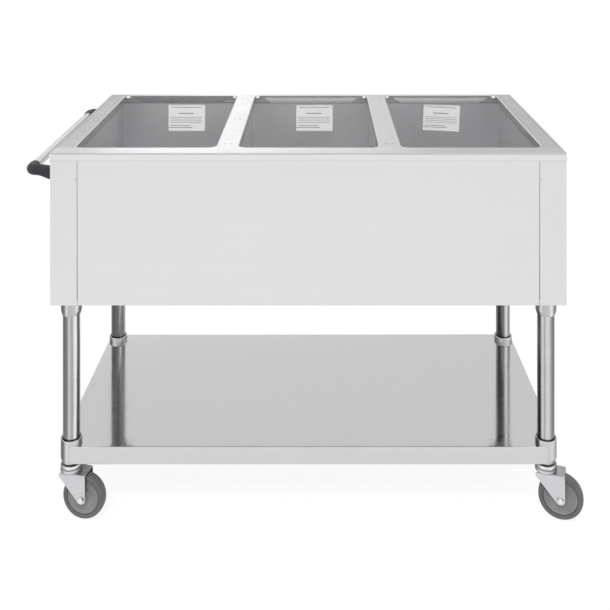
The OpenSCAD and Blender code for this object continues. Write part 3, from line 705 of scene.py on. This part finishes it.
def build_deck():
    """One sheet: flat top, rolled openings with angled flanges, and a down-turned apron."""
    top = DECK_HIGH.z - 0.1 * MM
    shape = bmesh.new()
    flat_edges = []

    def ring(points, z):
        return [shape.verts.new((p[0], p[1], z)) for p in points]

    def skin(upper, lower, flip):
        for i in range(len(upper)):
            j = (i + 1) % len(upper)
            quad = (upper[i], upper[j], lower[j], lower[i])
            shape.faces.new(tuple(reversed(quad)) if flip else quad)

    def fold(radius, steps, outline, flip):
        """A quarter round down from the flat; outline gives the points at a distance from its foot."""
        previous = None
        for k in range(steps + 1):
            angle = radians(90 * k / steps)
            loop = ring(outline(radius * (1 - sin(angle))), top - radius * (1 - cos(angle)))
            if previous:
                skin(previous, loop, flip)
            else:
                for i in range(len(loop)):
                    flat_edges.append(shape.edges.new((loop[i], loop[(i + 1) % len(loop)])))
            previous = loop
        return previous

    half = Vector((DECK_HIGH.x - DECK_LOW.x, DECK_HIGH.y - DECK_LOW.y)) / 2
    outer = fold(EDGE, 4, lambda inset: round_rect(
        (0, 0), half - Vector((inset, inset)), DECK_RADIUS - inset * 0.5), True)
    skin(outer, ring(round_rect((0, 0), half, DECK_RADIUS), DECK_LOW.z + 2 * MM), True)

    middle_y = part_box("well_liner_centre")[0].y + OPENING_BACK
    for well in WELLS:
        low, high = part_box("well_liner_" + well)
        centre = ((low.x + high.x) / 2, middle_y)
        mouth = fold(ROLL, 5, lambda out: round_rect(
            centre, OPENING_HALF + Vector((out, out)), OPENING_RADIUS + out, TAB), False)
        rim = ring(round_rect(centre, OPENING_HALF, OPENING_RADIUS, TAB), top - RIM)
        skin(mouth, rim, False)
        corner_size = len(rim) // 4
        for side in range(4):
            a = rim[(side + 1) * corner_size - 1]
            b = rim[(side + 1) * corner_size % len(rim)]
            along = (b.co - a.co).normalized()
            lower_a = shape.verts.new(a.co + along * FLANGE_CUT)
            lower_b = shape.verts.new(b.co - along * FLANGE_CUT)
            lower_a.co.z = lower_b.co.z = DECK_HIGH.z - FLANGE
            if side == 1 and well != "left":
                lower_a.co.y -= FLANGE_LEAN
                lower_b.co.y -= FLANGE_LEAN
            shape.faces.new((a, b, lower_b, lower_a))
    bmesh.ops.triangle_fill(shape, use_beauty=True, use_dissolve=False, edges=flat_edges)
    sheet_piece("deck_sheet", shape, deck_steel(), "top_deck", SHEET)


def build_spot_welds():
    """Slightly raised marks where the channels are welded under the bars."""
    radius, root, crest = 2.2 * MM, -0.3 * MM, -0.01 * MM
    dome = turned([(0, root), (radius, root), (radius, -0.04 * MM), (radius * 0.5, crest), (0, crest)],
                  0.02 * MM, 2, 24)
    channel_half = half_pitch = 7 * MM
    bar_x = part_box("deck_channels")[1].x - channel_half
    marks = []
    for x in (-bar_x, bar_x):
        for y in (-0.21, 0.01, 0.235):
            for across in (-half_pitch, half_pitch):
                marks.append(moved(dome, Matrix.Translation((x + across, y, DECK_HIGH.z))))
    piece("spot_welds", join_meshes(marks), zinc("weld_mark", 0.38, 0.5).material, "cabinet")


# -------- cabinet

def build_cabinet():
    """The cabinet's pieces that keep their CAD shape, each with its material and bevel in mm."""
    for material, bevel, *nodes in (
        (sheet_x, 0.5, "front_panel", "rear_control_panel"),
        (sheet_end, 0.55, "left_end_panel", "right_end_panel"),
        (spangle, 0.4, "bottom_panel", "deck_channels", "shelf_stiffener"),
        (spangle, 0.3, "element_supports"),
        (black_plastic, 0.5, "terminal_block", "cord_clips", "strain_relief"),
        (black_plastic, 0.8, "power_plug"),
        (moulded("switch_plastic", (0.68, 0.66, 0.6), 0.5), 0.8, "control_switches"),
        (moulded("wire_jacket", (0.36, 0.05, 0.04), 0.35), 0.0, "wiring_harness"),
        (moulded("cord_rubber", (0.018, 0.018, 0.019), 0.6, 900, 0.3), 0.0, "power_cord"),
        (wool(), 0.0, "well_insulation"),
        (lens(), 0.3, "pilot_lamps"),
        (bright_zinc, 0.3, "handle_screws"),
        (dull_zinc, 0.3, "set_screws"),
        (dull_zinc, 0.2, "panel_rivets"),
    ):
        for node in nodes:
            cad_copy(node, node + "_skin", material, "cabinet", bevel * MM)
    for well in WELLS:
        cad_copy("well_liner_" + well, f"well_liner_{well}_skin", sheet_liner, "cabinet", 0.4 * MM)
        cad_copy("heating_element_" + well, f"heating_tube_{well}", sheath, "cabinet")


def build_knobs():
    knob_plastic = moulded("knob_plastic", (0.02, 0.02, 0.022), 0.38)
    for well in WELLS:
        cad_copy("knob_" + well, f"control_knob_{well}", knob_plastic, "knob_" + well, 0.6 * MM)


def build_labels():
    """Paper notices with plain ruled bars, on the rear walls of the wells."""
    sheet_paper = paper("label_paper", (0.93, 0.93, 0.93))
    bar_print = paper("label_print", (0.24, 0.24, 0.25))
    width, height, depth = 102 * MM, 73 * MM, 0.25 * MM
    below_deck = 64 * MM
    # Each bar's middle and half size, in millimetres: a rule, a title and six lines.
    bars = [(0.0, 29.0, 41, 0.7), (-2.0, 12.5, 22, 1.1)]
    bars += [(-2.0, 1.5 - 5.0 * k, 45 - 2 * (k % 2), 0.55) for k in range(4)]
    bars += [(-18.0, -22.0 - 5.0 * k, 28 + 6 * k, 0.8) for k in range(2)]
    parts = [slab((-width / 2, 0, -height / 2), (width / 2, depth, height / 2))]
    for x, z, half_w, half_h in bars:
        parts.append(slab(*mm((x - half_w, -0.05, z - half_h), (x + half_w, 0.05, z + half_h))))
    slab_faces = len(parts[0][1])
    wall_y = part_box("well_labels")[0].y
    for well, tilt, shift in zip(WELLS, (0, 0, 2.7), (13 * MM, 10 * MM, 5 * MM)):
        low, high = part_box("well_liner_" + well)
        centre = Vector(((low.x + high.x) / 2 + shift, wall_y, cad_box[1].z - below_deck))
        turn = Matrix.Translation(centre) @ Matrix.Rotation(radians(tilt), 4, "Y")
        replaced = ("well_labels",) if well == "left" else ()
        label = piece("label_" + well, moved(join_meshes(parts), turn), sheet_paper, "cabinet",
                      *replaced, slot="paper")
        label.data.materials.append(bar_print)
        for face in label.data.polygons[slab_faces:]:
            face.material_index = 1


def build_dials():
    """Plain tick marks round each knob, raised on the control panel."""
    inner = 29
    ticks = []
    for well in WELLS:
        place = Matrix.Translation(pivot(f"knob_{well}_turn"))
        for k in range(11):
            length = 6.8 if k % 5 == 0 else 4.4
            turn = place @ Matrix.Rotation(radians(-150 + 30 * k), 4, "Y")
            ticks.append(moved(slab(*mm((-0.5, -0.05, inner), (0.5, 0.15, inner + length))), turn))
    ink = moulded("panel_ink", (0.03, 0.03, 0.03), 0.5)
    piece("dial_ticks", join_meshes(ticks), ink, "cabinet", slot="black_plastic")


# -------- legs, shelf and handle

COLLAR_BORE = 19.1 * MM


def on_leg(part, axis):
    return moved(part, Matrix.Translation((axis.x, axis.y, 0)))


def at_legs(part):
    return join_meshes([on_leg(part, axis) for axis in LEG_AXES])


def build_legs():
    # Lit and shaded copies of one tube material: one for each front leg and one for the rear legs.
    steels = {bands: tube_steel(bands) for bands in ("front_left", "front_right", "rear")}
    for corner, axis in zip(CORNERS, LEG_AXES):
        low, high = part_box("leg_" + corner)
        radius = (high.x - low.x) / 2
        inner = radius - 1.5 * MM
        wall = [(inner, low.z), (radius, low.z), (radius, high.z), (inner, high.z)]
        steel = steels["rear" if corner.startswith("rear") else corner]
        piece(corner + "_leg_tube", on_leg(lathe(rounded(wall, 0.4 * MM, 3)), axis), steel, "cabinet",
              "leg_" + corner, slot="stainless_tube")


def build_collars():
    """Turned sockets under the cabinet and sleeves on the shelf, with chamfered feet."""
    for kind, node, chamfer, rise, mouth, edge in (
        ("socket", "leg_sockets", 2.4, 9, [(0, 0)], 1.6),
        ("sleeve", "shelf_sleeves", 2.6, 10, [(1.1, 0), (0.9, -2), (0, -2.2)], 2.0),
    ):
        low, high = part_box(node)
        radius = (high.x - low.x) / 2 - LEG_X
        outline = [(COLLAR_BORE, low.z), (radius - chamfer * MM, low.z),
                   (radius, low.z + rise * MM), (radius, high.z)]
        outline += [(COLLAR_BORE + x, high.z + z) for x, z in mm(*mouth)]
        piece(kind + "s_turned", at_legs(lathe(rounded(outline, edge * MM))), collar_steel(kind),
              "cabinet", node)


def build_shelf():
    """A sheet with round-folded rims that stop at the sleeves."""
    low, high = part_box("undershelf")
    clear = 23.5 * MM
    fold = 2.2 * MM
    hem = 12 * MM
    rim = high.x - LEG_X
    inner = rim - fold
    shape = bmesh.new()

    def reach(offset):
        """How far from the leg's axis the round cut-out reaches at this offset."""
        return sqrt(max(clear ** 2 - offset ** 2, 0.0))

    outline = []
    for sx, sy in ((1, -1), (1, 1), (-1, 1), (-1, -1)):
        start = degrees(atan2(sy * inner, -sx * reach(inner)))
        end = degrees(atan2(-sy * reach(inner), sx * inner))
        if sx * sy > 0:
            start, end = end, start
        turn = (end - start) % 360 - 360
        outline += arc((sx * LEG_X, sy * LEG_Y), clear, start, start + turn, 28)
    loop = [shape.verts.new((p.x, p.y, high.z)) for p in outline]
    edges = [shape.edges.new((loop[i], loop[(i + 1) % len(loop)])) for i in range(len(loop))]
    bmesh.ops.triangle_fill(shape, use_beauty=True, use_dissolve=False, edges=edges)
    profile = []
    for k in range(6):
        angle = radians(90 * k / 5)
        profile.append((inner + fold * sin(angle), high.z - fold * (1 - cos(angle))))
    profile += [(rim, low.z + fold), (rim - 0.6 * MM, low.z + 0.5 * MM), (inner, low.z),
                (rim - hem, low.z)]
    for direction in range(4):
        along, across = (LEG_X, LEG_Y) if direction % 2 == 0 else (LEG_Y, LEG_X)
        turn = Matrix.Rotation(radians(90 * direction), 4, "Z")
        rows = []
        for offset, z in profile:
            half = along - reach(offset)
            rows.append([shape.verts.new(turn @ Vector((x, -(across + offset), z)))
                         for x in (-half, half)])
        for above, below in zip(rows, rows[1:]):
            shape.faces.new((above[0], below[0], below[1], above[1]))
    bmesh.ops.remove_doubles(shape, verts=shape.verts, dist=0.05 * MM)
    sheet_piece("shelf_sheet", shape, shelf_steel(), "undershelf", SHEET * 0.95)


def super_ring(centre, side, half_w, half_h, power):
    """A ring between an ellipse (power 1) and a rounded rectangle (smaller powers)."""
    points = []
    for k in range(32):
        angle = 2 * pi * k / 32
        c, s = cos(angle), sin(angle)
        points.append(centre + side * half_w * copysign(abs(c) ** power, c)
                      + UP * half_h * copysign(abs(s) ** power, s))
    return points


def build_handle():
    """The push bar, and two elbows that sweep from their pads round into cups on the bar."""
    low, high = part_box("handle_bar")
    bar_x, bar_z = (low.x + high.x) / 2, (low.z + high.z) / 2
    bar_r = (high.x - low.x) / 2
    turn = Matrix.Translation((bar_x, 0, bar_z)) @ Matrix.Rotation(radians(-90), 4, "X")
    bar = rod(bar_r, -high.y, high.y, 0.8 * MM, 64)
    bar_steel = brushed_steel("brushed_bar", 0.86, 0.3, "Y", grain=0.1).material
    piece("push_bar", moved(bar, turn), bar_steel, "cabinet", "handle_bar")
    bend = 13 * MM
    for name, side in (("front", -1), ("rear", 1)):
        low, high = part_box("handle_elbow_" + name)
        outer_r = bar_x - low.x
        arm_y = side * (max(abs(low.y), abs(high.y)) - 13.5 * MM)
        pad_z = low.z + 14.5 * MM
        rings = []
        arm_end = bar_x + bend
        for k in range(9):
            t = k / 8
            ease = t * t * (3 - 2 * t)
            centre = Vector((high.x + (arm_end - high.x) * t, arm_y, pad_z + (bar_z - pad_z) * ease))
            rings.append(super_ring(centre, Vector((0, -side, 0)), (13.4 - 0.9 * ease) * MM,
                                    (14.4 - 2.4 * ease) * MM, 0.62 + 0.38 * ease))
        turning = Vector((arm_end, arm_y - side * bend, bar_z))
        for k in range(1, 11):
            angle = radians(90 * k / 10)
            out = Vector((-sin(angle), side * cos(angle), 0))
            rings.append(super_ring(turning + out * bend, -out, outer_r, outer_r - 0.4 * MM, 1.0))
        cup_end = min(abs(low.y), abs(high.y))
        straight = abs(arm_y) - bend
        across = Vector((1, 0, 0))
        for k in range(1, 4):
            y = side * (straight + (cup_end - straight) * k / 3)
            rings.append(super_ring(Vector((bar_x, y, bar_z)), across, outer_r - 0.1 * k * MM,
                                    outer_r - (0.4 + 0.1 * k) * MM, 1.0))
        lip_r = bar_r + 0.4 * MM
        rings.append(super_ring(Vector((bar_x, side * cup_end, bar_z)), across, lip_r, lip_r, 1.0))
        elbow = piece(f"grip_elbow_{name}", loft(rings), black_plastic, "cabinet",
                      "handle_elbow_" + name, slot="black_plastic", sharp=60)
        modify(elbow, "SUBSURF", levels=1, render_levels=1)


# -------- casters

FORK_HALF = 19.5 * MM
FORK_SHEET = 2.5 * MM
FORK_END = 10 * MM
EAR_X, EAR_Z = 47 * MM, CROWN + 3 * MM


def caster_matrix(corner):
    """The caster's own frame: X along the trail, Y along the axle, Z up, origin on the floor."""
    swivel = pivot(f"caster_{corner}_swivel")
    axle = Vector(JOINTS[f"wheel_{corner}_spin"]["axis"])
    matrix = Matrix.Identity(4)
    matrix.col[0] = (axle.y, -axle.x, 0, 0)
    matrix.col[1] = (axle.x, axle.y, 0, 0)
    matrix.col[3] = (swivel.x, swivel.y, 0, 1)
    return matrix


def tangent_point(start, centre, radius):
    """Where a line from start touches a circle, on the side away from the wheel's front."""
    d = Vector(centre) - Vector(start)
    angle = atan2(d.y, d.x) - asin(radius / d.length)
    reach = sqrt(d.length ** 2 - radius ** 2)
    return Vector(start) + reach * Vector((cos(angle), sin(angle)))


def fork_part(axle, trail, braked):
    """Pressed fork: a crown folded down into two side plates with rounded noses and ends."""
    nose = (-21 * MM, CROWN - 8 * MM)
    shoulder = CROWN - 1.2 * MM
    touch = tangent_point(nose, (trail, axle), FORK_END)
    heel = trail + FORK_END
    start = degrees(atan2(touch.y - axle, touch.x - trail))
    side = [Vector((-18 * MM, shoulder)), Vector((-21 * MM, CROWN - 4 * MM)), Vector(nose), touch]
    side += arc((trail, axle), FORK_END, start if start < 0 else start - 360, 0, 14)[1:]
    if braked:
        side += [Vector((heel, EAR_Z - 9 * MM)), Vector((EAR_X + 3 * MM, EAR_Z - 9 * MM))]
        side += arc((EAR_X, EAR_Z), 5 * MM, -40, 200, 14)
        side += [Vector((EAR_X - 9 * MM, shoulder))]
    else:
        side += [Vector((heel, CROWN - 5 * MM)), Vector((heel - 3 * MM, shoulder))]
    parts = []
    flat, skirt = FORK_HALF - FORK_SHEET, CROWN - FORK_SHEET * 1.3
    for sign in (-1, 1):
        parts.append(loft([[(p.x, sign * y, p.y) for p in side] for y in (FORK_HALF, flat)]))
    section = rounded([
        (-FORK_HALF, skirt), (-FORK_HALF, CROWN), (FORK_HALF, CROWN), (FORK_HALF, skirt),
        (flat, CROWN - FORK_SHEET), (-flat, CROWN - FORK_SHEET)
    ], 2.2 * MM)
    crown_heel = heel - (10 * MM if braked else 0)
    stations = [(-17 * MM, 0.55), (-14 * MM, 0.9), (-9 * MM, 1.0), (crown_heel - 4 * MM, 1.0),
                (crown_heel - 1 * MM, 0.97), (crown_heel, 0.93)]
    parts.append(loft([[(x, p.x * width, p.y) for p in section] for x, width in stations]))
    bore, rim = 12 * MM, 24 * MM
    race = rounded([(bore, CROWN - 1 * MM), (rim, CROWN - 1 * MM), (rim, CROWN + 3 * MM),
                    (rim - 1.4 * MM, CROWN + 8 * MM), (bore, CROWN + 8 * MM)], 1.6 * MM, 4)
    parts.append(lathe(race, 72))
    return join_meshes(parts)


def hexagon(radius, low, high):
    """A hex head along Z with its corners chamfered."""
    outline = [(radius * cos(radians(60 * k)), radius * sin(radians(60 * k))) for k in range(6)]
    rings = [[(x, y, z) for x, y in outline] for z in (low, high - 0.8 * MM)]
    rings.append([(x * 0.86, y * 0.86, high) for x, y in outline])
    return loft(rings)


def build_caster(corner):
    matrix = caster_matrix(corner)
    swivel_body, wheel_body = "caster_" + corner, "wheel_" + corner
    spin = pivot(f"wheel_{corner}_spin")
    trail = (spin.xy - pivot(f"caster_{corner}_swivel").xy).length
    braked = corner.startswith("rear")
    piece(corner + "_fork", moved(fork_part(spin.z, trail, braked), matrix), fork_zinc, swivel_body,
          "caster_fork_" + corner, slot="zinc_plate", bevel=0.5 * MM, sharp=40)

    on_axle = matrix @ Matrix.Translation((trail, 0, spin.z)) @ Matrix.Rotation(radians(90), 4, "X")
    shank = FORK_HALF + 0.1 * MM
    head = hexagon(6.8 * MM, shank, shank + 4 * MM)
    bolt = [head, moved(head, Matrix.Rotation(pi, 4, "X")),
            rod(4 * MM, -shank - 6 * MM, shank, 0.8 * MM, 32)]
    piece(corner + "_axle_bolt", moved(join_meshes(bolt), on_axle), nut_zinc, swivel_body,
          "caster_axle_" + corner, slot="zinc_plate", sharp=30)

    radius = spin.z / MM
    wall, bore = -12, 37.5
    tread = mm((bore, wall + 0.6), (bore + 2.2, wall), (bore + 3.4, wall + 0.7), (bore + 4.6, wall),
               (radius - 3.2, wall), (radius - 0.9, wall + 3.4), (radius, -3), (radius, 3))
    tread += [(r, -z) for r, z in reversed(tread[:-2])]
    piece(corner + "_tyre_tread", moved(lathe(rounded(tread, 2.0 * MM, 4), 128), on_axle),
          tyre_rubber, wheel_body, "tyre_" + corner, slot="tyre_rubber", sharp=60)

    face = mm((4.06, 16.5), (9.5, 16.5), (11.5, 15.5), (13, 9), (16, 8), (25, 8.2), (25.8, 9),
              (27, 9), (27.8, 8.2), (31, 8.4), (33, 10.4), (36.2, 10.5), (36.5, 8.2), (37.4, 8.2))
    face += [(r, -z) for r, z in reversed(face)]
    piece(corner + "_wheel_centre", moved(lathe(rounded(face, 0.6 * MM, 3), 128), on_axle),
          wheel_plastic, wheel_body, "wheel_hub_" + corner, slot="wheel_plastic", sharp=50)
    if braked:
        build_pedal(corner, matrix)


def build_pedal(corner, matrix):
    """Folded foot pedal with a ribbed tread, its barrel and the pad over the tyre."""
    half, length = 16.4 * MM, 38 * MM
    outline = rounded([(0, -half), (length, -half), (length, half), (0, half)], 5 * MM)
    parts = [prism(outline, 1.5 * MM, 4 * MM), slab(*mm((3, -9, -9), (8, 9, 2)))]
    parts += [slab(*mm((x, -11, 3.9), (x + 2, 11, 4.5))) for x in (14, 20, 26, 32)]
    pin_half = 20.5 * MM
    across = Matrix.Rotation(radians(90), 4, "X")
    parts.append(moved(rod(4.5 * MM, -half, half, 0.6 * MM, 40), across))
    parts.append(moved(rod(2 * MM, -pin_half, pin_half, 0.5 * MM, 32), across))
    place = matrix @ Matrix.Translation(matrix.inverted() @ pivot(f"brake_{corner}_press"))
    piece(corner + "_foot_pedal", moved(join_meshes(parts), place),
          bright_zinc, "brake_" + corner, "brake_pedal_" + corner, slot="zinc_plate", bevel=0.4 * MM)


def build_stems():
    """Caster stems: a riveted foot, the upper race under the sleeve, and a plug in the leg."""
    low, high = (corner.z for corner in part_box("caster_stems"))
    stem = turned([
        (0, low), (8 * MM, low), (7 * MM, low + 4 * MM), (5 * MM, low + 4 * MM),
        (5 * MM, CROWN + 8.8 * MM), (23.5 * MM, CROWN + 8.8 * MM), (23.5 * MM, CROWN + 13 * MM),
        (21.5 * MM, CROWN + 16 * MM), (17.4 * MM, CROWN + 18 * MM), (17.4 * MM, high), (0, high)
    ], 1.2 * MM, 4, 72)
    piece("caster_stems_turned", at_legs(stem), race_steel(), "cabinet", "caster_stems",
          slot="zinc_plate")


# -------- studio

def build_floor():
    """A plain pale floor that glows a little, like a lit sweep, so that shadows stay soft."""
    bpy.ops.mesh.primitive_plane_add(size=60, location=(0, 0, 0))
    floor = bpy.context.object
    floor.name = "studio_floor"
    shader = Shader("floor_paint", (0.93, 0.93, 0.93), roughness=0.9)
    shader.paint(shader.noise(3.0, 4), (0.20, 0.20, 0.20), (0.18, 0.18, 0.18))
    shader.set("Emission Color", (1, 1, 1, 1))
    ray = shader.node("LightPath").outputs
    glow = shader.plus(shader.times(ray["Is Camera Ray"], 0.40), shader.times(ray["Is Glossy Ray"], 0.26))
    shader.set("Emission Strength", shader.plus(glow, 0.45))
    floor.data.materials.append(shader.material)


def build_world():
    """White surroundings; mirrored in metal they have soft grey walls and strip lights."""
    world = bpy.data.worlds.new("studio")
    world.use_nodes = True
    bpy.context.scene.world = world
    graph = Graph(world.node_tree, "Generated")
    height = graph.split(graph.place)[2]
    right, _, ahead = graph.in_camera(graph.place)
    wall = graph.plus(graph.ramp(height, 0.53, 0.745, 0.30, 0.42),
                      graph.ramp(height, 0.0, 0.25, 0.6, 0.9))
    low = graph.ramp(height, 1.0, 0.0, 0.30, 0.36)
    tall_strip = graph.times(low, graph.hill(right, -0.09, 0.05, 0.72))
    second_strip = graph.times(low, graph.hill(right, 0.07, 0.06, 0.24))
    side = graph.ramp(right, 1.05, -0.05, -0.10, 0.22)
    long_strip = graph.times(side, graph.hill(height, 0.375, 0.035, 1.0))
    behind = graph.plus(tall_strip, second_strip, graph.plus(long_strip, wall))
    facing = graph.ramp(ahead, 0.0, 1.0, -0.1, 0.25)
    mirrored = graph.plus(graph.times(behind, facing), graph.minus(1.0, facing))
    ray = graph.node("LightPath").outputs
    glossy = ray["Is Glossy Ray"]
    plain = graph.minus(1.0, graph.times(ray["Is Diffuse Ray"], 0.25))
    total = graph.plus(graph.times(glossy, mirrored), graph.times(graph.minus(1.0, glossy), plain))
    background = world.node_tree.nodes["Background"].inputs
    graph.feed(background["Color"], (1, 1, 1, 1))
    graph.feed(background["Strength"], total)


def build_light():
    """One large soft light above and in front, which reaches into the wells."""
    data = bpy.data.lights.new("soft_box", "AREA")
    data.shape = "RECTANGLE"
    data.size, data.size_y = 1.8, 1.0
    data.energy = 55
    light = add_object("soft_box", data)
    light.location = (-0.5, -2.4, 2.9)
    aim = Vector((0, 0.1, 0.7)) - light.location
    light.rotation_euler = aim.to_track_quat("-Z", "Y").to_euler()
    light.visible_glossy = False


def build_camera():
    """A view camera: level, with its lens shifted down to keep the uprights parallel.

    The shift holds only at the camera's own place, so that a camera moved elsewhere sees straight.
    """
    home = Vector((0.0234, -2.157, 1.3669))
    data = bpy.data.cameras.new("camera")
    data.sensor_width = 36
    data.lens = 51.2
    camera = add_object("camera", data)
    camera.location = home
    camera.rotation_euler = (radians(90), 0, 0)
    bpy.context.scene.camera = camera
    for path, amount in (("shift_x", -0.0233), ("shift_y", -0.664)):
        driver = data.driver_add(path).driver
        driver.type = "SCRIPTED"
        place = driver.variables.new()
        place.name = "y"
        place.type = "TRANSFORMS"
        place.targets[0].id = camera
        place.targets[0].transform_type = "LOC_Y"
        driver.expression = f"{amount} * (abs(y - ({home.y})) < 0.001)"


build_deck()
build_spot_welds()
build_cabinet()
build_labels()
build_dials()
build_legs()
build_collars()
build_shelf()
build_handle()
for corner_name in CORNERS:
    build_caster(corner_name)
build_stems()
build_knobs()
build_floor()
build_world()
build_light()
build_camera()
bpy.context.scene.view_settings.view_transform = "Standard"

bpy.context.view_layer.update()
